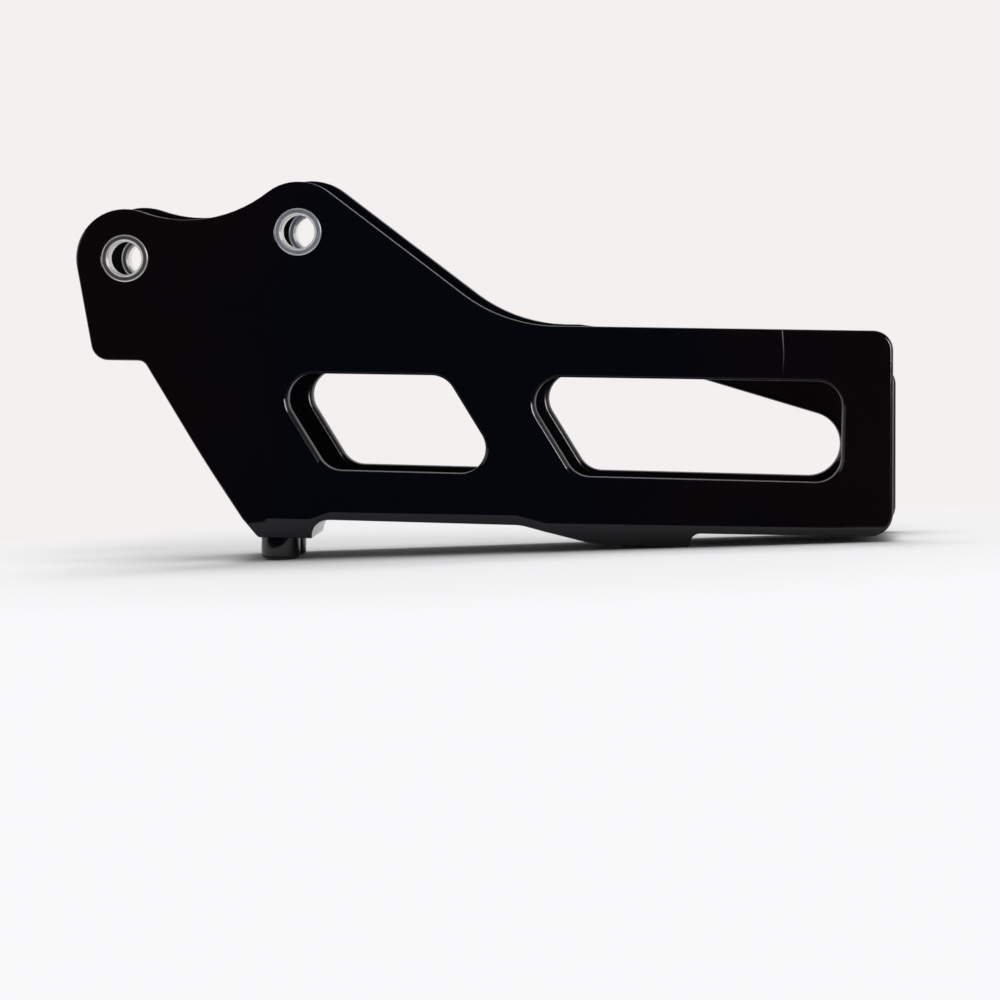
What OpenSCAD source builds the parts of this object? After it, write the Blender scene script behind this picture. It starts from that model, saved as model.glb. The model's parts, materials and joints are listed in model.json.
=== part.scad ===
// Rear chain guide for a motorcycle swingarm.
// One moulding holds an outer and an inner plate, joined along the bottom by the block that the chain runs over.
// Four steel collars line the two bolt holes. The guide stands on its two pegs and on its keel.
// Side profiles are drawn with x to the rear from the front bolt and height from the flat of the foot.

/* [Bolts] */
// Distance between the two bolts
bolt_pitch = 45; // [40:0.5:50]
// Rise of the line through the bolts, in degrees
bolt_line_angle = 9.4; // [6:0.2:12]
// Height of the front bolt over the foot
bolt_height = 71.3; // [69:0.5:75]
// Diameter of the hole for each bolt
bolt_bore = 8.5; // [6.5:0.1:9]

/* [Collars] */
// Outer diameter of a collar
collar_od = 12; // [11:0.1:14]
// How far a collar stands out of each face of its plate
collar_proud = 0.2; // [0:0.05:0.6]
// Chamfer at the mouths of a collar
collar_chamfer = 0.55; // [0.3:0.05:0.7]

/* [Plates] */
// Thickness of the outer plate and of the inner plate
plate_t = 6; // [5:0.25:8]
// Clear width between the plates, where the chain and the swingarm lug go
chain_gap = 27; // [22:0.5:34]
// Radius of the lobe round the front bolt
front_lobe_r = 12.6; // [11.5:0.1:14]
// Radius of the lobe round the rear bolt
rear_lobe_r = 12.8; // [11.5:0.1:14]
// Radius of the hollow between the lobes
valley_r = 34; // [26:1:44]
// How much larger the lobes of the inner plate are
inner_lobe_extra = 0.9; // [0.3:0.1:1.2]
// Rear end of the outer plate's top edge, from the front bolt
rear_x = 196; // [190:0.5:210]
// Lean of the rear edges, in degrees from upright
rear_lean = 1.1; // [0:0.1:1.8]
// How far the inner plate reaches behind the outer one
inner_reach = 2.5; // [1:0.1:4]
// Height of the straight top edge over the foot
beam_top = 55.6; // [54:0.2:58]
// Height of the rear end of the inner plate's falling top edge
inner_rear_top = 45.5; // [42:0.5:50]
// Where the inner plate's top edge starts to fall
inner_fall_x = 115.5; // [112:0.5:120]
// Radius of the hollow where the upper edge meets the straight top edge
neck_r = 40; // [34:1:44]
// Slope of the edge behind the rear lobe, in degrees
neck_angle = 36.4; // [34:0.4:40]

/* [Heel] */
// Lean of the front edge, in degrees from upright
front_edge_angle = 10.9; // [8:0.1:14]
// Height of the flat under the heel
heel_z = 45.2; // [42:0.5:48]
// Radius of the heel's front corner
heel_r = 4.5; // [3:0.5:6]
// Lean of the edge below the heel, in degrees from upright
brace_angle = 31.8; // [30:0.2:33]
// Lean of the same edge where it reaches the foot
brace_foot_angle = 34.4; // [33.4:0.2:36]
// Height at which that edge bends
brace_bend_z = 19; // [14:0.5:24]

/* [Underside] */
// Front end of the foot's flat
foot_x = 34.3; // [33:0.1:36]
// Length of the foot's flat
foot_length = 14; // [13:0.1:16]
// Height of the underside behind the foot
arch_z = 5.1; // [4.4:0.1:6.5]
// How far the underside falls from there to the keel's slope
arch_fall = 0.6; // [0:0.1:1]
// Height of the underside behind the keel
tail_z = 3.2; // [2:0.1:4.5]
// Rear end of the keel
keel_x = 145.6; // [142:0.2:150]
// Length of the keel's flat
keel_length = 24.8; // [22:0.2:28]
// Length of the slope up to the keel
keel_slope = 18.5; // [15:0.5:20]
// How far the rear end of the keel reaches below the foot
keel_drop = 0.6; // [0.4:0.05:0.8]
// How much deeper the keel is at its rear end than at its front end
keel_rake = 0.4; // [0:0.05:0.4]
// Height on the faces where the lower edges are cut back at 45 degrees
cut_z = 5.3; // [4:0.1:6]
// The same height between foot and keel
arch_cut_z = 7.2; // [6.6:0.1:8.4]

/* [Pegs] */
// Diameter of a peg
peg_d = 10; // [8:0.2:11]
// Length of a peg below the foot
peg_length = 5.75; // [4:0.05:7]
// Distance of the pegs behind the front end of the foot
peg_inset = 5.2; // [5:0.1:7]
// Distance between the two pegs, across the guide
peg_pitch = 15; // [12:0.5:18]

/* [Windows] */
// Height of the lower edge of the windows at its front end
window_z0 = 17.9; // [17:0.1:19]
// Fall of that edge to the rear, in degrees
window_fall = 0.5; // [0:0.05:0.8]
// Height of the upper edge of the windows
window_z1 = 42.6; // [41:0.2:45]
// Radius of the windows' corners
window_r = 6.5; // [5:0.25:8]
// Lean of the slanted ends, in degrees from upright
window_lean = 32.4; // [29:0.2:34]
// Front lower corner of the front window
front_window_x = 52.6; // [52:0.2:55]
// Length of the front window
front_window_length = 45.8; // [40:0.2:48]
// Width of the strut between the windows, along the guide
strut_w = 17.8; // [15:0.2:20]
// Width of the bar behind the rear window
rear_bar_w = 12.4; // [10:0.2:15]
// How far back the windows of the inner plate lie
inner_window_shift = 2.1; // [1:0.1:2.6]
// How far back the front end of the inner front window lies
inner_front_shift = 2.8; // [1:0.1:3.2]
// How far back the rear end of the inner rear window lies
inner_end_shift = 0.8; // [0:0.1:2]
// Radius of the corners at that end
inner_end_r = 8.3; // [6.5:0.1:9]
// Slope of the upper edge of the inner rear window, in degrees
inner_window_slope = 15.8; // [14:0.2:18]
// Where that slope starts
inner_slope_x = 145; // [141:1:150]

/* [Chain floor] */
// Height of the floor that the chain runs over
floor_z = 14; // [12:0.2:15]
// How far the floor drops at its two ends
floor_drop = 4; // [2:0.2:5]
// Length of the slope at each end of the floor
floor_lead = 22; // [15:1:28]

/* [Hidden] */
$fn = 96;

// How far an arc runs past the line that it blends into, so that the two cross cleanly
lap = 0.004;

// How far a cutting shape stands out of what it cuts
over = 1;

// Radii of the small corners and of the bend in the edge above the foot
edge_r = 1;
foot_corner_r = 1.5;
flank_r = 4.6;
tail_flank_r = 2.6;
keel_blend_r = 12;
heel_fillet_r = 2.6;
beam_corner_r = 5;
tail_corner_r = 6;
floor_blend_r = 30;
brace_bend_r = 400;

// Ends of the higher cut between foot and keel
arch_run = 6.5;
arch_rise_angle = 21;
arch_fall_angle = 14;

// Widths across the guide
width = 2 * plate_t + chain_gap;
inner_y = width - plate_t;

// Bolts, as x and height
front_bolt = [0, bolt_height];
rear_bolt = front_bolt + bolt_pitch * [cos(bolt_line_angle), sin(bolt_line_angle)];

// Pegs and keel, and the tilt that puts them on one level surface
peg_x = foot_x + peg_inset;
peg_contact = [peg_x + peg_d / 2 - edge_r, edge_r - peg_length];
keel_front = [keel_x - keel_length, keel_rake - keel_drop];
keel_rear = [keel_x, -keel_drop];
keel_contact = corner_centre(keel_front, keel_rear, [keel_x, tail_z], edge_r);
stand_tilt = atan2(keel_contact[1] - peg_contact[1], keel_contact[0] - peg_contact[0]);

// Shift that puts the middle of the guide's box over the origin
outer_top_rear = [rear_x, beam_top];
inner_top_rear = [rear_x + inner_reach, inner_rear_top];
inner_fall = [inner_fall_x, beam_top];
rear_corner = corner_centre(inner_fall, inner_top_rear, below(inner_top_rear), beam_corner_r);
x_min = tilted(front_bolt)[0] - front_lobe_r - inner_lobe_extra;
x_max = tilted(rear_corner)[0] + beam_corner_r + lap;
x_middle = (x_min + x_max) / 2;
stand_lift = edge_r + lap - tilted(keel_contact)[1];

// A profile point after the tilt
function tilted(p) = [
    p[0] * cos(stand_tilt) + p[1] * sin(stand_tilt),
    p[1] * cos(stand_tilt) - p[0] * sin(stand_tilt)
];

function unit(v) = v / norm(v);

// Lower end of the rear edge whose upper end is at p
function below(p) = [p[0] + (p[1] - tail_z) * tan(rear_lean), tail_z];

// Centre of the arc of radius r that rounds the corner p between a and b
function corner_centre(a, p, b, r) =
    let (u = unit(a - p), v = unit(b - p), half = acos(u * v) / 2)
    p + unit(u + v) * r / sin(half);

// How far from the corner p that arc starts
function corner_reach(a, p, b, r) =
    let (half = acos(unit(a - p) * unit(b - p)) / 2)
    r / tan(half);

// Which way an outline drawn against the clock turns at p, above zero where its corner points outwards
function turn(a, p, b) = (p[0] - a[0]) * (b[1] - p[1]) - (p[1] - a[1]) * (b[0] - p[0]);

// The sliver between a sharp corner and its arc, reaching a little past the corner
module corner_sliver(a, p, b, r) {
    centre = corner_centre(a, p, b, r);
    reach = corner_reach(a, p, b, r);
    difference() {
        polygon([p + unit(a - p) * reach, p + unit(p - centre) * r * 0.3, p + unit(b - p) * reach, centre]);
        translate(centre) circle(r + lap);
    }
}

// An outline drawn against the clock, from corners of the form [x, height, radius]
module rounded_outline(corners) {
    count = len(corners);
    points = [for (c = corners) [c[0], c[1]]];
    difference() {
        union() {
            polygon(points);
            for (i = [0:count - 1]) {
                a = points[(i + count - 1) % count];
                b = points[(i + 1) % count];
                if (corners[i][2] > 0 && turn(a, points[i], b) < 0)
                    corner_sliver(a, points[i], b, corners[i][2]);
            }
        }
        for (i = [0:count - 1]) {
            a = points[(i + count - 1) % count];
            b = points[(i + 1) % count];
            if (corners[i][2] > 0 && turn(a, points[i], b) > 0)
                corner_sliver(a, points[i], b, corners[i][2]);
        }
    }
}

// Turns a profile upright and gives it a thickness, from y0 towards the inner side
module upright(y0, thickness) {
    translate([0, y0 + thickness, 0]) rotate([90, 0, 0]) linear_extrude(thickness) children();
}

// Puts the guide on its pegs and keel, with the origin under the middle of its box
module standing() {
    translate([-x_middle, -width / 2, stand_lift]) rotate([0, stand_tilt, 0]) children();
}

// Profile of a plate: two lobes, the neck, the straight top, the tail, the keel, the foot and the heel
module plate_profile(extra, top_rear, top_corners) {
    r1 = front_lobe_r + extra;
    r2 = rear_lobe_r + extra;
    valley = valley_centre(r1, r2);
    front_tangent = front_bolt - (r1 - lap) * [cos(front_edge_angle), sin(front_edge_angle)];
    neck_tangent = rear_bolt + (r2 - lap) * [sin(neck_angle), cos(neck_angle)];
    heel_x = front_tangent[0] + (front_tangent[1] - heel_z) * tan(front_edge_angle);
    bend_x = foot_x - brace_bend_z * tan(brace_foot_angle);
    brace_x = bend_x - (heel_z - brace_bend_z) * tan(brace_angle);
    neck_x = neck_tangent[0] + (neck_tangent[1] - beam_top) / tan(neck_angle);
    flank_x = foot_x + foot_length;
    difference() {
        union() {
            translate(front_bolt) circle(r1);
            translate(rear_bolt) circle(r2);
            rounded_outline(concat(
                [
                    [front_tangent[0], front_tangent[1], 0],
                    [heel_x, heel_z, heel_r],
                    [brace_x, heel_z, heel_fillet_r],
                    [bend_x, brace_bend_z, brace_bend_r],
                    [foot_x, 0, foot_corner_r],
                    [flank_x, 0, 0],
                    [flank_x, arch_z, flank_r],
                    [keel_x - keel_length - keel_slope, arch_z - arch_fall, keel_blend_r],
                    [keel_front[0], keel_front[1], keel_blend_r],
                    [keel_rear[0], keel_rear[1], edge_r],
                    [keel_x, tail_z, tail_flank_r],
                    [below(top_rear)[0], tail_z, tail_corner_r],
                    [top_rear[0], top_rear[1], beam_corner_r]
                ],
                top_corners,
                [
                    [neck_x, beam_top, neck_r],
                    [neck_tangent[0], neck_tangent[1], 0],
                    [rear_bolt[0], rear_bolt[1], 0],
                    [valley[0], valley[1], 0],
                    [front_bolt[0], front_bolt[1], 0]
                ]
            ));
        }
        translate(valley) circle(valley_r + lap);
    }
}

// Centre of the hollow that touches both lobes
function valley_centre(r1, r2) =
    let (
        a = r1 + valley_r,
        b = r2 + valley_r,
        along = (a * a - b * b + bolt_pitch * bolt_pitch) / (2 * bolt_pitch),
        across = sqrt(a * a - along * along),
        u = unit(rear_bolt - front_bolt)
    )
    front_bolt + along * u + across * [-u[1], u[0]];

module outer_profile() {
    plate_profile(0, outer_top_rear, []);
}

module inner_profile() {
    plate_profile(inner_lobe_extra, inner_top_rear, [[inner_fall[0], inner_fall[1], 0]]);
}

// Height of the lower edge of the windows at x
function window_low(x) = window_z0 - (x - front_window_x) * tan(window_fall);

// Upper corner of a slanted end whose lower corner is at x
function window_high(x) = [x - (window_z1 - window_low(x)) * tan(window_lean), window_z1, window_r];

// Both windows of a plate, moved back by shift, the first one's front end by its own, with the last rear corners
module windows(front_shift, shift, rear_corners) {
    x1 = front_window_x + front_shift;
    x2 = front_window_x + front_window_length + shift;
    x3 = x2 + strut_w;
    rounded_outline([
        [x1, window_low(x1), window_r],
        [x2, window_low(x2), window_r],
        window_high(x2),
        window_high(x1)
    ]);
    rounded_outline(concat([[x3, window_low(x3), window_r]], rear_corners, [window_high(x3)]));
}

module outer_windows() {
    x4 = rear_x - rear_bar_w;
    windows(0, 0, [[x4, window_low(x4), window_r], [x4, window_z1, window_r]]);
}

module inner_windows() {
    x4 = rear_x - rear_bar_w + inner_end_shift;
    fall = (x4 - inner_slope_x) * tan(inner_window_slope);
    windows(inner_front_shift, inner_window_shift, [
        [x4, window_low(x4), inner_end_r],
        [x4, window_z1 - fall, inner_end_r],
        [inner_slope_x, window_z1, 0]
    ]);
}

// What is open between the plates: all above the floor, which slopes down at its two ends
module channel_profile() {
    front_x = foot_x - (floor_z - floor_drop) * tan(brace_foot_angle);
    past = 20;
    above = front_bolt[1] + bolt_pitch;
    end_z = floor_z - floor_drop;
    rounded_outline([
        [front_x, end_z, 0],
        [front_x + floor_lead, floor_z, floor_blend_r],
        [rear_x - floor_lead, floor_z, floor_blend_r],
        [rear_x, end_z, 0],
        [rear_x + past, end_z, 0],
        [rear_x + past, above, 0],
        [-past, above, 0],
        [-past, end_z, 0]
    ]);
}

// A prism along x under the plane that falls at 45 degrees from the given height on the face at y = 0
module bevel_prism(height, x0, x1) {
    out = 2;
    low = bolt_height;
    translate([x0, 0, 0]) rotate([90, 0, 90]) linear_extrude(x1 - x0)
        polygon([[-out, height + out], [-out, -low], [height + low, -low]]);
}

// The same prism with its edge turned about the point x on that edge
module turned_prism(x, angle) {
    translate([x, 0, cut_z]) rotate([0, angle, 0]) translate([-x, 0, -cut_z])
        bevel_prism(cut_z, -rear_x, 2 * rear_x);
}

// What is cut off an outer lower edge, all along and higher up between foot and keel
module lower_edge_cut() {
    bevel_prism(cut_z, 0, 2 * rear_x);
    intersection() {
        bevel_prism(arch_cut_z, 0, rear_x);
        turned_prism(foot_x + foot_length, -arch_rise_angle);
        turned_prism(keel_x - keel_length - keel_slope + arch_run, arch_fall_angle);
    }
}

module peg(y) {
    sunk = 2;
    r = peg_d / 2;
    top = peg_length + sunk;
    translate([peg_x, y, -peg_length]) rotate_extrude()
        rounded_outline([[0, 0, 0], [r, 0, edge_r], [r, top, 0], [0, top, 0]]);
}

module collar_hole(bolt) {
    translate([bolt[0], -over, bolt[1]]) rotate([-90, 0, 0]) cylinder(d = collar_od, h = width + 2 * over);
}

module guide_body() {
    color([0.02, 0.02, 0.022]) standing() {
        difference() {
            union() {
                difference() {
                    upright(0, inner_y) outer_profile();
                    upright(plate_t, chain_gap + over) channel_profile();
                }
                upright(inner_y, plate_t) inner_profile();
            }
            upright(-over, plate_t + 2 * over) outer_windows();
            upright(inner_y - over, plate_t + 2 * over) inner_windows();
            collar_hole(front_bolt);
            collar_hole(rear_bolt);
            lower_edge_cut();
            translate([0, width, 0]) mirror([0, 1, 0]) lower_edge_cut();
        }
        peg((width - peg_pitch) / 2);
        peg((width + peg_pitch) / 2);
    }
}

// A steel collar with its outer end at y0, chamfered at both mouths
module collar(bolt, y0) {
    length = plate_t + 2 * collar_proud;
    r_in = bolt_bore / 2;
    r_out = collar_od / 2;
    rim = 0.25;
    color([0.62, 0.63, 0.65]) standing() translate([bolt[0], y0, bolt[1]]) rotate([-90, 0, 0])
        rotate_extrude() polygon([
            [r_in, collar_chamfer],
            [r_in + collar_chamfer, 0],
            [r_out - rim, 0],
            [r_out, rim],
            [r_out, length - rim],
            [r_out - rim, length],
            [r_in + collar_chamfer, length],
            [r_in, length - collar_chamfer]
        ]);
}

module outer_front_collar() {
    collar(front_bolt, -collar_proud);
}

module outer_rear_collar() {
    collar(rear_bolt, -collar_proud);
}

module inner_front_collar() {
    collar(front_bolt, inner_y - collar_proud);
}

module inner_rear_collar() {
    collar(rear_bolt, inner_y - collar_proud);
}

guide_body();
outer_front_collar();
outer_rear_collar();
inner_front_collar();
inner_rear_collar();
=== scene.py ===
"""Looks of a motorcycle chain guide: a black moulding with four steel collars, on a studio table."""

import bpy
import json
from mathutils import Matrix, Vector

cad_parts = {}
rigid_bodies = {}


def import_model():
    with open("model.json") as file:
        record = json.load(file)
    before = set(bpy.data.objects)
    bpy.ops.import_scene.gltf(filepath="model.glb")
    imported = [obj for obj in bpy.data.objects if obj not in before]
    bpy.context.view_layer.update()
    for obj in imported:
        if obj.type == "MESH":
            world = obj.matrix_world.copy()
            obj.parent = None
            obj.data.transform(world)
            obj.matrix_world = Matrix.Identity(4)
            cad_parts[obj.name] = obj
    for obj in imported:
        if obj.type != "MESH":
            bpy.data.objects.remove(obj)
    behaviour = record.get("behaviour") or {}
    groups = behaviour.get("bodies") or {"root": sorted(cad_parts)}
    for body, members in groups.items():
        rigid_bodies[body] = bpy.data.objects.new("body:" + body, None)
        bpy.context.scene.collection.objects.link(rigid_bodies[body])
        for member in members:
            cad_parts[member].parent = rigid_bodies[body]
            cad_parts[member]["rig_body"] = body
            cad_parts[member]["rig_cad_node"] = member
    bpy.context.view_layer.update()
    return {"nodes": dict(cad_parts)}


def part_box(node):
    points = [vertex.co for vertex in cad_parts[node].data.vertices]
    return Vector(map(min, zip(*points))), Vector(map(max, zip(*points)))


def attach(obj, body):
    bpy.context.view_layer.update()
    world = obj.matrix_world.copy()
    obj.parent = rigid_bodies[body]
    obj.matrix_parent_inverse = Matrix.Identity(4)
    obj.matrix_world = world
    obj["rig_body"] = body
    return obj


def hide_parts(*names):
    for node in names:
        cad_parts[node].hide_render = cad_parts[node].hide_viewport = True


bl_info = {
    "name": "Chain guide studio",
    "version": (1, 0, 0),
    "blender": (4, 5, 0),
    "location": "View3D > Sidebar > Chain guide",
    "description": "Finishes a packed chain guide and sets it on a studio table",
    "category": "Object",
}

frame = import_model()

import json
import math

import bmesh
import bpy
from mathutils import Matrix, Vector

BODY = "root"
MM = 0.001

BODY_LOW, BODY_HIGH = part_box("guide_body")
COLLARS = ("outer_front_collar", "outer_rear_collar", "inner_front_collar", "inner_rear_collar")

# Where the edges of the moulding lie
WINDOWS_FRONT = -57 * MM
WINDOWS_REAR = 92.5 * MM
WINDOWS_LOW = 13 * MM
WINDOWS_HIGH = 50 * MM
WINDOWS_FALL = 0.05
UNDERSIDE_HIGH = 7 * MM
CHANNEL_Y = 14 * MM
FOOT_REAR_LOW = -50 * MM
FOOT_REAR_HIGH = -44 * MM

# Angles between faces, in radians
FLAT_ANGLE = math.radians(0.6)
SHARP_ANGLE = math.radians(24)
SMOOTH_ANGLE = math.radians(28)

# Normals of the side faces and of the slanted cuts along the underside
FACE_Y = 0.99
CUT_Y_LOW = 0.6
CUT_Y_HIGH = 0.8
CUT_Z = -0.5

# How close points lie that are welded
WELD = 0.002 * MM

# Waves to the metre in each pattern, and the values of a pattern that count as low and high
CLOUDS = 28.0
RIPPLE = 260.0
GRAIN = 2600.0
SWAY = 110.0
PATCHES = 420.0
RINGS = 4200.0
WAVE = (0.3, 0.7)

# Where the plastic changes its gloss: beside the land along a plate's edge, over the bottom block,
# over the pegs and behind them
PLATE_T = 6 * MM
LAND_SIDE = (2.0 * MM, 2.6 * MM)
OVER_BLOCK = (13.5 * MM, 14.5 * MM)
OVER_PEGS = (5.5 * MM, 6.5 * MM)
BEHIND_PEGS = (-46 * MM, -43 * MM)

# The plastic's colour carries a painted reflection: bluish in the middle of the guide and warmer towards
# its ends
MIDDLE_X = -5 * MM
WARMER_REFLECTION = (45 * MM, 85 * MM)
UNEVEN = 25 * MM

# The scratch on the plastic
SCRATCH_X = 75.2 * MM
SCRATCH_LOW = 42.5 * MM
SCRATCH_HIGH = 54.5 * MM
SCRATCH_COLOUR = (0.30, 0.30, 0.31)

# The collars, with a painted highlight on their rims and mouths
COLLAR_R = (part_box(COLLARS[0])[1].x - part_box(COLLARS[0])[0].x) / 2 + 0.05 * MM
RIM_R = COLLAR_R - 0.3 * MM
MOUTH_R = COLLAR_R - 1.25 * MM
HIGHLIGHT_STEEL = (0.93, 0.93, 0.91)
HIGHLIGHT_METAL = 0.55
FRONT_METAL = 0.72
REAR_METAL = 0.45

# Where the table shows as painted light and no longer as a lit surface
FADE_START = 0.12
FADE_END = 0.18

# Strength of the backdrop where it lights surfaces
WORLD_LIGHT = 0.32


def middle(node):
    """Middle of a node's box."""
    low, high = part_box(node)
    return (low + high) / 2


HOLES = [middle(node) for node in COLLARS[:2]]


def in_window(spot):
    """Whether a point lies where only the windows have edges."""
    top = WINDOWS_HIGH - WINDOWS_FALL * (spot.x - WINDOWS_FRONT)
    return WINDOWS_FRONT < spot.x < WINDOWS_REAR and WINDOWS_LOW < spot.z < top


class GuideSizes(bpy.types.PropertyGroup):
    """Sizes of the moulding's rounded edges."""

    edge_round: bpy.props.FloatProperty(
        name="Edge rounding", description="Radius of the rounding along the window edges",
        default=1.3 * MM, min=0.4 * MM, max=1.4 * MM, unit="LENGTH")
    outline_round: bpy.props.FloatProperty(
        name="Outline rounding", description="Share of the window rounding that the outer edges take",
        default=0.6, min=0.2, max=0.65, subtype="FACTOR")
    hole_round: bpy.props.FloatProperty(
        name="Hole rounding", description="Share of the edge rounding at the holes of the collars",
        default=0.22, min=0.0, max=1.0, subtype="FACTOR")
    cut_round: bpy.props.FloatProperty(
        name="Cut rounding", description="Share of the edge rounding where lower cuts meet the underside",
        default=0.35, min=0.0, max=1.0, subtype="FACTOR")
    foot_round: bpy.props.FloatProperty(
        name="Foot rounding", description="Share of the edge rounding at the rear of the foot",
        default=0.2, min=0.0, max=0.3, subtype="FACTOR")
    round_steps: bpy.props.IntProperty(
        name="Rounding steps", description="Faces across a rounded edge", default=4, min=1, max=8)


class GuideFinish(bpy.types.PropertyGroup):
    """Colours and gloss of the finishes."""

    # This bluish colour also paints the reflection in the middle of the guide; the warmer ends are made
    # from it
    plastic: bpy.props.FloatVectorProperty(
        name="Plastic", description="Colour of the moulded plastic",
        default=(0.0023, 0.0029, 0.0054), size=3, min=0.0, max=1.0, subtype="COLOR")
    plastic_roughness: bpy.props.FloatProperty(
        name="Plastic roughness", description="Roughness of the polished moulding",
        default=0.09, min=0.02, max=0.6, subtype="FACTOR")
    edge_roughness: bpy.props.FloatProperty(
        name="Edge roughness", description="Roughness of the surfaces between the side faces",
        default=0.17, min=0.05, max=0.6, subtype="FACTOR")
    land_roughness: bpy.props.FloatProperty(
        name="Land roughness", description="Roughness of the duller band in the middle of a plate's edge",
        default=0.45, min=0.05, max=0.8, subtype="FACTOR")
    steel: bpy.props.FloatVectorProperty(
        name="Steel", description="Colour of the plain steel collars",
        default=(0.26, 0.26, 0.265), size=3, min=0.0, max=1.0, subtype="COLOR")
    zinc: bpy.props.FloatVectorProperty(
        name="Zinc", description="Colour of the zinc plated collars",
        default=(0.36, 0.42, 0.52), size=3, min=0.0, max=1.0, subtype="COLOR")


class GuideStage(bpy.types.PropertyGroup):
    """Table, lamps and camera."""

    table: bpy.props.FloatVectorProperty(
        name="Table", description="Colour of the table",
        default=(0.947, 0.945, 0.962), size=3, min=0.0, max=1.0, subtype="COLOR")
    backdrop: bpy.props.FloatVectorProperty(
        name="Backdrop", description="Colour of the backdrop that the table fades into",
        default=(0.895, 0.872, 0.866), size=3, min=0.0, max=1.0, subtype="COLOR")
    lens: bpy.props.FloatProperty(
        name="Lens", description="Focal length on a sensor 36 mm wide, in millimetres",
        default=133.2, min=50.0, max=300.0)
    camera_place: bpy.props.FloatVectorProperty(
        name="Camera", description="Where the camera stands",
        default=(0.056856, -0.96024, 0.07002), size=3, subtype="XYZ", unit="LENGTH")
    camera_yaw: bpy.props.FloatProperty(
        name="Yaw", description="How far the camera looks to its left",
        default=math.radians(3.331), subtype="ANGLE")
    camera_pitch: bpy.props.FloatProperty(
        name="Pitch", description="How far the camera looks down",
        default=math.radians(3.396), subtype="ANGLE")
    camera_roll: bpy.props.FloatProperty(
        name="Roll", description="How far the camera leans",
        default=math.radians(2.135), subtype="ANGLE")


def pick(obj):
    """Selects only this object and makes it active."""
    bpy.ops.object.select_all(action="DESELECT")
    obj.select_set(True)
    bpy.context.view_layer.objects.active = obj


def finish_piece(obj, slot, *nodes):
    """Hangs a finished piece on the guide's body, in place of the nodes."""
    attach(obj, BODY)
    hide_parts(*nodes)


def dress(obj, material):
    """Gives an object this one material."""
    obj.data.materials.clear()
    obj.data.materials.append(material)


def node_material(name):
    """A new material with its tree and its shader."""
    material = bpy.data.materials.new(name)
    material.use_nodes = True
    tree = material.node_tree
    return material, tree, tree.nodes["Principled BSDF"]


def object_place(tree):
    """The place of a point on the object, as a vector."""
    return tree.nodes.new("ShaderNodeTexCoord").outputs["Object"]


def split(tree, vector):
    """The three parts of a vector."""
    node = tree.nodes.new("ShaderNodeSeparateXYZ")
    tree.links.new(vector, node.inputs["Vector"])
    return node.outputs


def ramp(tree, source, low, high, start=0.0, end=1.0):
    """A map of a value from low..high to start..end."""
    node = tree.nodes.new("ShaderNodeMapRange")
    node.inputs["From Min"].default_value = low
    node.inputs["From Max"].default_value = high
    node.inputs["To Min"].default_value = start
    node.inputs["To Max"].default_value = end
    tree.links.new(source, node.inputs["Value"])
    return node.outputs["Result"]


def blend_colour(tree, factor, first, second):
    """Mixes two colours, given as sockets or values."""
    node = tree.nodes.new("ShaderNodeMix")
    node.data_type = "RGBA"
    tree.links.new(factor, node.inputs["Factor"])
    for key, value in (("A", first), ("B", second)):
        socket = [s for s in node.inputs if s.name == key and s.type == "RGBA"][0]
        if isinstance(value, bpy.types.NodeSocket):
            tree.links.new(value, socket)
        else:
            socket.default_value = (*value, 1.0)
    return [s for s in node.outputs if s.type == "RGBA"][0]


def maths(tree, operation, *values):
    """A math node on sockets or numbers."""
    node = tree.nodes.new("ShaderNodeMath")
    node.operation = operation
    for socket, value in zip(node.inputs, values):
        if isinstance(value, bpy.types.NodeSocket):
            tree.links.new(value, socket)
        else:
            socket.default_value = value
    return node.outputs["Value"]


def noise(tree, place, scale, detail):
    """Noise over a place, with so many waves to the metre."""
    node = tree.nodes.new("ShaderNodeTexNoise")
    node.inputs["Scale"].default_value = scale
    node.inputs["Detail"].default_value = detail
    tree.links.new(place, node.inputs["Vector"])
    return node.outputs["Fac"]


def bump(tree, shader, height, strength, distance):
    """Bends the shader's normal by a height."""
    node = tree.nodes.new("ShaderNodeBump")
    node.inputs["Strength"].default_value = strength
    node.inputs["Distance"].default_value = distance
    tree.links.new(height, node.inputs["Height"])
    tree.links.new(node.outputs["Normal"], shader.inputs["Normal"])


def seen_directly(tree):
    """One for rays from the camera and for reflected or refracted rays, nought for light."""
    path = tree.nodes.new("ShaderNodeLightPath")
    bent = maths(tree, "MAXIMUM", path.outputs["Is Glossy Ray"], path.outputs["Is Transmission Ray"])
    return maths(tree, "MAXIMUM", path.outputs["Is Camera Ray"], bent)


def moulded_plastic(finish):
    """Polished black plastic: glossy sides, duller edges, faint clouds, ripple, a hair scratch and a
    painted reflection in its colour.
    """
    material, tree, shader = node_material("moulded_plastic")
    place = object_place(tree)
    apart = split(tree, place)
    clouds = noise(tree, place, CLOUDS, 4.0)
    tree.links.new(plastic_colour_and_reflection(tree, finish, place, apart, clouds), shader.inputs["Base Color"])
    gloss = ramp(tree, clouds, *WAVE, finish.plastic_roughness * 0.75, finish.plastic_roughness * 1.35)
    roughness = maths(tree, "MAXIMUM", edge_roughness(tree, finish, apart), gloss)
    tree.links.new(roughness, shader.inputs["Roughness"])
    ripple = noise(tree, place, RIPPLE, 2.0)
    grain = maths(tree, "MULTIPLY", noise(tree, place, GRAIN, 2.0), 0.25)
    bump(tree, shader, maths(tree, "ADD", ripple, grain), 0.35, 0.02 * MM)
    shader.inputs["IOR"].default_value = 1.45
    return material


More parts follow.
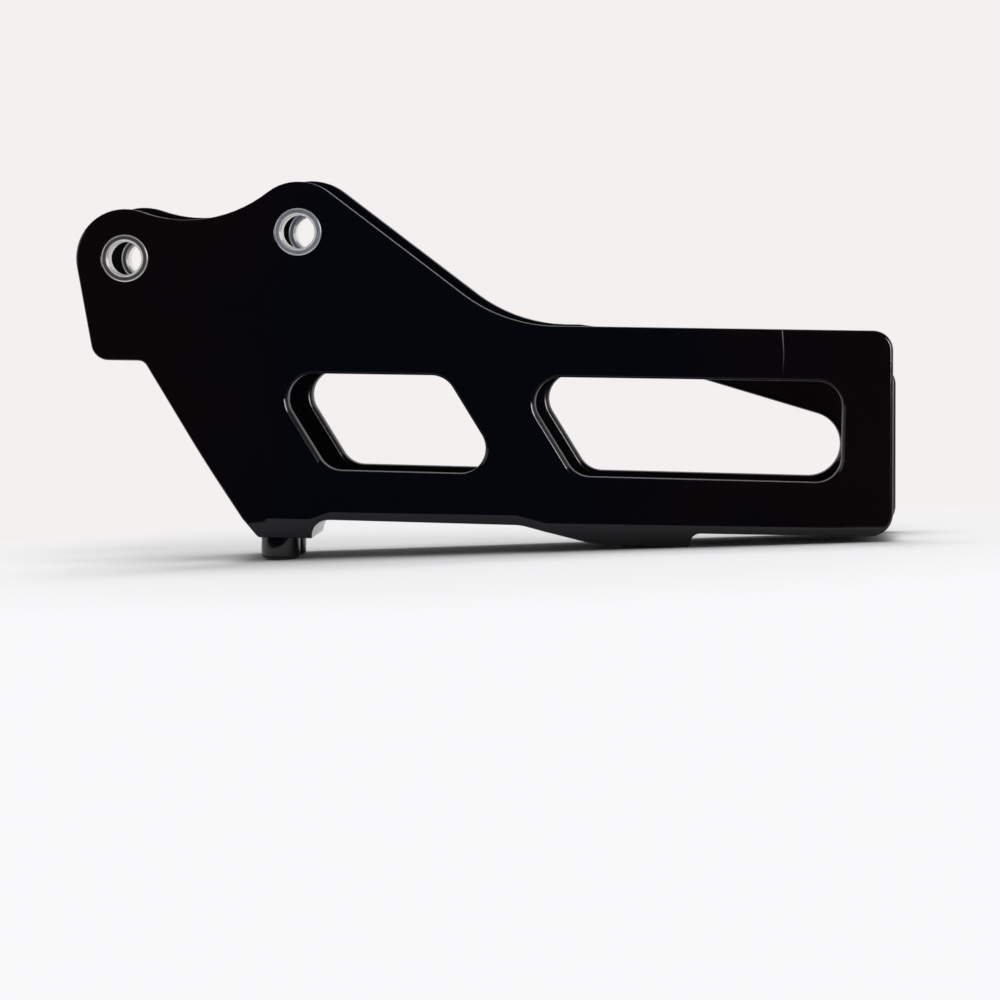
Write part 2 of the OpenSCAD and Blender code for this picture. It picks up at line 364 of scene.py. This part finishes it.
def plastic_colour_and_reflection(tree, finish, place, apart, clouds):
    """Painted reflection in the plastic's colour: bluish in the middle, warmer at the ends, with the pale
    scratch.
    """
    cool = tuple(finish.plastic)
    warm = (cool[0] * 2.0, cool[1] * 1.05, cool[2] * 0.75)
    off_middle = maths(tree, "ABSOLUTE", maths(tree, "SUBTRACT", apart["X"], MIDDLE_X))
    uneven = maths(tree, "ADD", off_middle, ramp(tree, clouds, *WAVE, -UNEVEN, UNEVEN))
    reflection_tint = blend_colour(tree, ramp(tree, uneven, *WARMER_REFLECTION), cool, warm)
    scratch = hair_scratch(tree, apart, noise(tree, place, SWAY, 1.0))
    return blend_colour(tree, scratch, reflection_tint, SCRATCH_COLOUR)


def edge_roughness(tree, finish, apart):
    """Roughness of the surfaces between the side faces, nought on the side faces and on the pegs."""
    across = maths(tree, "ABSOLUTE", apart["Y"])
    face = BODY_HIGH.y
    from_land = maths(tree, "ABSOLUTE", maths(tree, "SUBTRACT", across, face - PLATE_T / 2))
    land = ramp(tree, from_land, *LAND_SIDE, finish.land_roughness, 0.0)
    over_block = ramp(tree, apart["Z"], *OVER_BLOCK)
    edge = ramp(tree, across, face - 0.25 * MM, face - 0.05 * MM, finish.edge_roughness, 0.0)
    dull = maths(tree, "MAXIMUM", maths(tree, "MULTIPLY", land, over_block), edge)
    over_pegs = ramp(tree, apart["Z"], *OVER_PEGS)
    behind_pegs = ramp(tree, apart["X"], *BEHIND_PEGS)
    return maths(tree, "MULTIPLY", dull, maths(tree, "MAXIMUM", over_pegs, behind_pegs))


def hair_scratch(tree, apart, bend):
    """Mask of a hair scratch on the outer plate, from the top edge down, fading on its way."""
    sway = ramp(tree, bend, *WAVE, -0.3 * MM, 0.3 * MM)
    off_line = maths(tree, "ADD", maths(tree, "SUBTRACT", apart["X"], SCRATCH_X), sway)
    line = ramp(tree, maths(tree, "ABSOLUTE", off_line), 0.05 * MM, 0.14 * MM, 1.0, 0.0)
    fade = ramp(tree, apart["Z"], SCRATCH_LOW, SCRATCH_HIGH, 0.05, 1.0)
    outer = ramp(tree, apart["Y"], BODY_LOW.y + 0.1 * MM, BODY_LOW.y + 0.3 * MM, 1.0, 0.0)
    faded = maths(tree, "MULTIPLY", maths(tree, "MULTIPLY", fade, fade), outer)
    return maths(tree, "MULTIPLY", line, faded)


def turned_steel(name, colour, metal, centre):
    """Turned steel: fine rings round the bolt hole, uneven colour, and a painted highlight on the rim and
    the mouth.
    """
    material, tree, shader = node_material(name)
    place = object_place(tree)
    shift = tree.nodes.new("ShaderNodeMapping")
    shift.inputs["Location"].default_value = (-centre.x, 0.0, -centre.z)
    tree.links.new(place, shift.inputs["Vector"])
    apart = split(tree, shift.outputs["Vector"])
    squares = [maths(tree, "MULTIPLY", apart[axis], apart[axis]) for axis in ("X", "Z")]
    radius = maths(tree, "SQRT", maths(tree, "ADD", *squares))
    rings_at = tree.nodes.new("ShaderNodeCombineXYZ")
    tree.links.new(radius, rings_at.inputs["X"])
    tree.links.new(apart["Y"], rings_at.inputs["Y"])
    rings = noise(tree, rings_at.outputs["Vector"], RINGS, 2.0)
    patches = noise(tree, place, PATCHES, 3.0)
    dark = tuple(channel * 0.72 for channel in colour)
    plain = blend_colour(tree, ramp(tree, patches, 0.35, 0.7), colour, dark)
    # Painted highlight: the outer rim and the mouth of the hole get a pale, less metallic colour, as
    # though their chamfers caught the light
    rim_highlight = ramp(tree, radius, RIM_R - 0.1 * MM, RIM_R)
    mouth = ramp(tree, radius, MOUTH_R, MOUTH_R + 0.1 * MM, 1.0, 0.0)
    bright = maths(tree, "MAXIMUM", rim_highlight, mouth)
    tree.links.new(blend_colour(tree, bright, plain, HIGHLIGHT_STEEL), shader.inputs["Base Color"])
    tree.links.new(ramp(tree, bright, 0.0, 1.0, metal, HIGHLIGHT_METAL), shader.inputs["Metallic"])
    tree.links.new(ramp(tree, rings, *WAVE, 0.16, 0.34), shader.inputs["Roughness"])
    bump(tree, shader, rings, 0.4, 0.01 * MM)
    return material


class GUIDE_OT_moulding(bpy.types.Operator):
    """Rounds the edges of the black moulding and gives it its finish"""

    bl_idname = "guide.moulding"
    bl_label = "Moulding"

    def execute(self, context):
        sizes = context.scene.guide_sizes
        pick(frame["nodes"]["guide_body"])
        bpy.ops.object.duplicate()
        moulding = context.active_object
        moulding.name = "moulding"
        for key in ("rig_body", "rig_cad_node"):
            del moulding[key]
        bpy.ops.object.parent_clear(type="CLEAR_KEEP_TRANSFORM")
        bpy.ops.object.mode_set(mode="EDIT")
        bpy.ops.mesh.select_all(action="SELECT")
        bpy.ops.mesh.remove_doubles(threshold=WELD)
        bpy.ops.mesh.normals_make_consistent(inside=False)
        bpy.ops.mesh.dissolve_limited(angle_limit=FLAT_ANGLE)
        bpy.ops.object.mode_set(mode="OBJECT")
        self.weigh_edges(moulding, sizes)
        bevel = moulding.modifiers.new("rounded_edges", "BEVEL")
        bevel.limit_method = "WEIGHT"
        bevel.width = sizes.edge_round
        bevel.segments = sizes.round_steps
        bevel.use_clamp_overlap = False
        bevel.loop_slide = False
        bpy.ops.object.modifier_apply(modifier=bevel.name)
        self.keep_inside(moulding)
        bpy.ops.object.shade_smooth_by_angle(angle=SMOOTH_ANGLE)
        weighted = moulding.modifiers.new("even_shading", "WEIGHTED_NORMAL")
        weighted.keep_sharp = True
        bpy.ops.object.modifier_apply(modifier=weighted.name)
        dress(moulding, moulded_plastic(context.scene.guide_finish))
        finish_piece(moulding, "black_plastic", "guide_body")
        return {"FINISHED"}

    def weigh_edges(self, moulding, sizes):
        """Marks how far each sharp edge is rounded, by the two faces beside it."""
        work = bmesh.new()
        work.from_mesh(moulding.data)
        weight = work.edges.layers.float.new("bevel_weight_edge")
        for edge in work.edges:
            edge[weight] = self.edge_share(edge, sizes)
        work.to_mesh(moulding.data)
        work.free()

    def edge_share(self, edge, sizes):
        """Share of the rounding that an edge takes: none on nearly flat ones and on most hollow ones."""
        angle = edge.calc_face_angle_signed()
        if abs(angle) < SHARP_ANGLE:
            return 0.0
        spot = (edge.verts[0].co + edge.verts[1].co) / 2
        if any(math.hypot(spot.x - hole.x, spot.z - hole.z) < COLLAR_R for hole in HOLES):
            return sizes.hole_round
        if angle < 0:
            in_channel = spot.z > UNDERSIDE_HIGH and abs(spot.y) < CHANNEL_Y
            return sizes.outline_round if in_channel else 0.0
        normals = [face.normal for face in edge.link_faces]
        on_face = any(abs(normal.y) > FACE_Y for normal in normals)
        on_cut = any(CUT_Y_LOW < abs(normal.y) < CUT_Y_HIGH and normal.z < CUT_Z for normal in normals)
        if on_cut:
            return 0.0 if on_face else sizes.cut_round
        if not on_face and spot.z < UNDERSIDE_HIGH and FOOT_REAR_LOW < spot.x < FOOT_REAR_HIGH:
            return sizes.foot_round
        return 1.0 if on_face and in_window(spot) else sizes.outline_round

    def keep_inside(self, moulding):
        """Puts back the few points that the rounding moved past the moulding's box."""
        for vertex in moulding.data.vertices:
            for axis in range(3):
                vertex.co[axis] = min(max(vertex.co[axis], BODY_LOW[axis]), BODY_HIGH[axis])


class GUIDE_OT_collars(bpy.types.Operator):
    """Gives the four steel collars their turned finish, with a painted highlight on their rims and mouths
    """

    bl_idname = "guide.collars"
    bl_label = "Collars"

    def execute(self, context):
        finish = context.scene.guide_finish
        for name in COLLARS:
            in_front = "front" in name
            colour = tuple(finish.steel if in_front else finish.zinc)
            metal = FRONT_METAL if in_front else REAR_METAL
            dress(frame["nodes"][name], turned_steel(name + "_steel", colour, metal, middle(name)))
        return {"FINISHED"}


class GUIDE_OT_stage(bpy.types.Operator):
    """Sets the table, the backdrop, the lamps and the camera"""

    bl_idname = "guide.stage"
    bl_label = "Stage"

    def execute(self, context):
        stage = context.scene.guide_stage
        self.table(stage)
        self.dark_cards()
        self.lamps()
        self.world(context.scene, stage)
        self.camera(context.scene, stage)
        context.scene.view_settings.view_transform = "Standard"
        return {"FINISHED"}

    def table(self, stage):
        """A large pale table that holds the shadow near the guide and is painted light further away,
        fading into the backdrop.
        """
        bpy.ops.mesh.primitive_plane_add(size=12.0, location=(0.0, 0.0, 0.0))
        table = bpy.context.active_object
        table.name = "table"
        material, tree, shader = node_material("table_top")
        shader.inputs["Base Color"].default_value = (*stage.table, 1.0)
        shader.inputs["Roughness"].default_value = 0.9
        shader.inputs["Specular IOR Level"].default_value = 0.1
        place = object_place(tree)
        far = tree.nodes.new("ShaderNodeVectorMath")
        far.operation = "LENGTH"
        tree.links.new(place, far.inputs[0])
        away = ramp(tree, split(tree, place)["Y"], -0.08, 0.12)
        # Away from the guide the table is painted light: an emission in the table's colour in front,
        # growing darker into the backdrop colour behind, seen by the camera and in reflections
        painted_table_light = tree.nodes.new("ShaderNodeEmission")
        colour = blend_colour(tree, away, tuple(stage.table), tuple(stage.backdrop))
        tree.links.new(colour, painted_table_light.inputs["Color"])
        outside = ramp(tree, far.outputs["Value"], FADE_START, FADE_END)
        mixed = tree.nodes.new("ShaderNodeMixShader")
        tree.links.new(maths(tree, "MULTIPLY", seen_directly(tree), outside), mixed.inputs["Fac"])
        tree.links.new(shader.outputs["BSDF"], mixed.inputs[1])
        tree.links.new(painted_table_light.outputs["Emission"], mixed.inputs[2])
        tree.links.new(mixed.outputs["Shader"], tree.nodes["Material Output"].inputs["Surface"])
        dress(table, material)

    def dark_cards(self):
        """Dark cards that only reflections see, behind the camera, over the table in front of the guide
        and overhead: they paint dark reflections in the glossy faces where the pale table and backdrop
        would show.
        """
        material, _, shader = node_material("dark_card")
        shader.inputs["Base Color"].default_value = (0.002, 0.002, 0.0025, 1.0)
        shader.inputs["Roughness"].default_value = 1.0
        shader.inputs["Specular IOR Level"].default_value = 0.0
        cards = (
            ((0.0, -1.6, 0.6), (math.radians(90), 0.0, 0.0), (3.2, 2.4)),
            ((0.0, -0.816, 0.002), (0.0, 0.0, 0.0), (3.2, 1.568)),
            ((0.0, -0.10, 1.0), (0.0, 0.0, 0.0), (3.2, 3.0)),
        )
        for index, (place, turn, size) in enumerate(cards):
            bpy.ops.mesh.primitive_plane_add(size=1.0, location=place, rotation=turn)
            card = bpy.context.active_object
            card.name = f"dark_card_{index}"
            card.scale = (size[0], size[1], 1.0)
            dress(card, material)
            card.visible_camera = False
            card.visible_diffuse = False
            card.visible_transmission = False
            card.visible_shadow = False

    def lamps(self):
        """One lamp overhead and a weaker one in front give light, two at the sides only highlights."""
        # Name, place, size, watts, whether it lights surfaces and whether it shows in reflections
        lamps = (
            ("top_lamp", (-0.10, 0.16, 1.20), 0.65, 8.2, True, False),
            ("front_lamp", (0.25, -0.70, 1.10), 0.80, 4.8, True, False),
            ("right_lamp", (0.62, -0.96, 0.14), 0.40, 9.0, False, True),
            ("left_lamp", (-1.10, 0.10, 0.35), 0.30, 0.6, False, True),
        )
        target = Vector((0.0, 0.0, 0.04))
        for name, place, size, watts, lights, shines in lamps:
            bpy.ops.object.light_add(type="AREA", location=place)
            lamp = bpy.context.active_object
            lamp.name = name
            lamp.data.size = size
            lamp.data.energy = watts
            lamp.rotation_euler = (target - Vector(place)).to_track_quat("-Z", "Y").to_euler()
            lamp.visible_diffuse = lights
            lamp.visible_glossy = shines

    def world(self, scene, stage):
        """A pale backdrop for the camera and for reflections, and a dimmer one as light."""
        world = bpy.data.worlds.new("studio")
        scene.world = world
        world.use_nodes = True
        tree = world.node_tree
        back = tree.nodes["Background"]
        back.inputs["Color"].default_value = (*stage.backdrop, 1.0)
        strength = ramp(tree, seen_directly(tree), 0.0, 1.0, WORLD_LIGHT, 1.0)
        tree.links.new(strength, back.inputs["Strength"])

    def camera(self, scene, stage):
        """The camera at the photograph's angle."""
        bpy.ops.object.camera_add(location=stage.camera_place)
        camera = bpy.context.active_object
        camera.name = "camera"
        camera.data.lens = stage.lens
        camera.data.sensor_width = 36.0
        camera.data.clip_end = 50.0
        upright = Matrix.Rotation(math.radians(90) - stage.camera_pitch, 4, "X")
        turned = Matrix.Rotation(stage.camera_yaw, 4, "Z") @ upright
        leaned = turned @ Matrix.Rotation(-stage.camera_roll, 4, "Z")
        camera.matrix_world = Matrix.Translation(Vector(stage.camera_place)) @ leaned
        scene.camera = camera


class GUIDE_PT_panel(bpy.types.Panel):
    """Lists the pieces of the guide and the stage"""

    bl_label = "Chain guide"
    bl_idname = "GUIDE_PT_panel"
    bl_space_type = "VIEW_3D"
    bl_region_type = "UI"
    bl_category = "Chain guide"

    def draw(self, context):
        for piece in PIECES:
            self.layout.operator(piece)
        for group in ("guide_sizes", "guide_finish", "guide_stage"):
            settings = getattr(context.scene, group)
            for name in settings.__annotations__:
                self.layout.prop(settings, name)


PIECES = ("guide.moulding", "guide.collars", "guide.stage")
CLASSES = (
    GuideSizes, GuideFinish, GuideStage,
    GUIDE_OT_moulding, GUIDE_OT_collars, GUIDE_OT_stage, GUIDE_PT_panel,
)


def register():
    """Registers the classes and their settings."""
    for cls in CLASSES:
        bpy.utils.register_class(cls)
    bpy.types.Scene.guide_sizes = bpy.props.PointerProperty(type=GuideSizes)
    bpy.types.Scene.guide_finish = bpy.props.PointerProperty(type=GuideFinish)
    bpy.types.Scene.guide_stage = bpy.props.PointerProperty(type=GuideStage)


def unregister():
    """Takes the settings and the classes away."""
    del bpy.types.Scene.guide_stage
    del bpy.types.Scene.guide_finish
    del bpy.types.Scene.guide_sizes
    for cls in reversed(CLASSES):
        bpy.utils.unregister_class(cls)


def main():
    """Makes the guide and its stage."""
    register()
    for piece in PIECES:
        group, name = piece.split(".")
        getattr(getattr(bpy.ops, group), name)()


if __name__ == "__main__":
    main()
